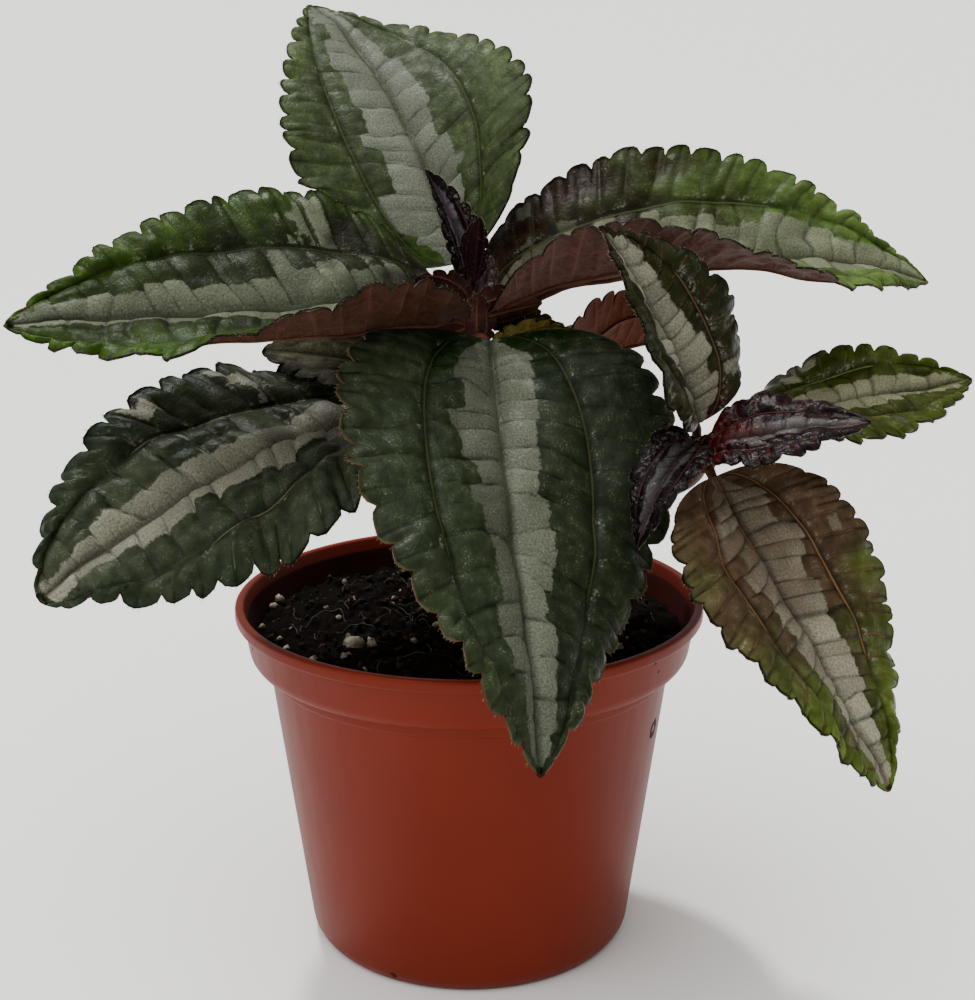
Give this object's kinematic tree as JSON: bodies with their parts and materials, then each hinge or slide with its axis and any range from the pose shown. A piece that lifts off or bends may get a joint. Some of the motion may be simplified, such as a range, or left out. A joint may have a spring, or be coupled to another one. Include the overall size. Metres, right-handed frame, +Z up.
{
  "type": "potted silver tree pilea",
  "caption": "Potted foliage plant with toothed, quilted, silver-striped leaves on a branching stem, standing in soil in a tapered plastic nursery pot.",
  "frame": {"origin": "centre of the pot's flat underside", "axes": "+Z up along the pot's axis; +X to the right and -Y towards the viewer as the plant is pictured"},
  "size_m": [0.1707, 0.1367, 0.1777],
  "materials": {
    "pot": "satin",
    "soil": "matte",
    "stem": "matte",
    "leaf_olive": "satin",
    "leaf_green": "satin",
    "leaf_dark": "satin",
    "leaf_brown": "matte",
    "leaf_bronze": "satin",
    "leaf_young": "satin"
  },
  "bodies": {
    "root": {"pot": "pot", "soil": "soil", "stem": "stem", "leaf_back": "leaf_olive", "leaf_left": "leaf_green", "leaf_right": "leaf_green", "leaf_front": "leaf_dark", "leaf_low_left": "leaf_dark", "leaf_low_right": "leaf_brown", "leaf_small_left": "leaf_brown", "leaf_small_right": "leaf_brown", "side_leaf_front": "leaf_bronze", "side_leaf_back": "leaf_bronze", "side_leaf_right": "leaf_olive", "crown_pair": "leaf_young", "side_pair": "leaf_young"}
  },
  "joints": []
}
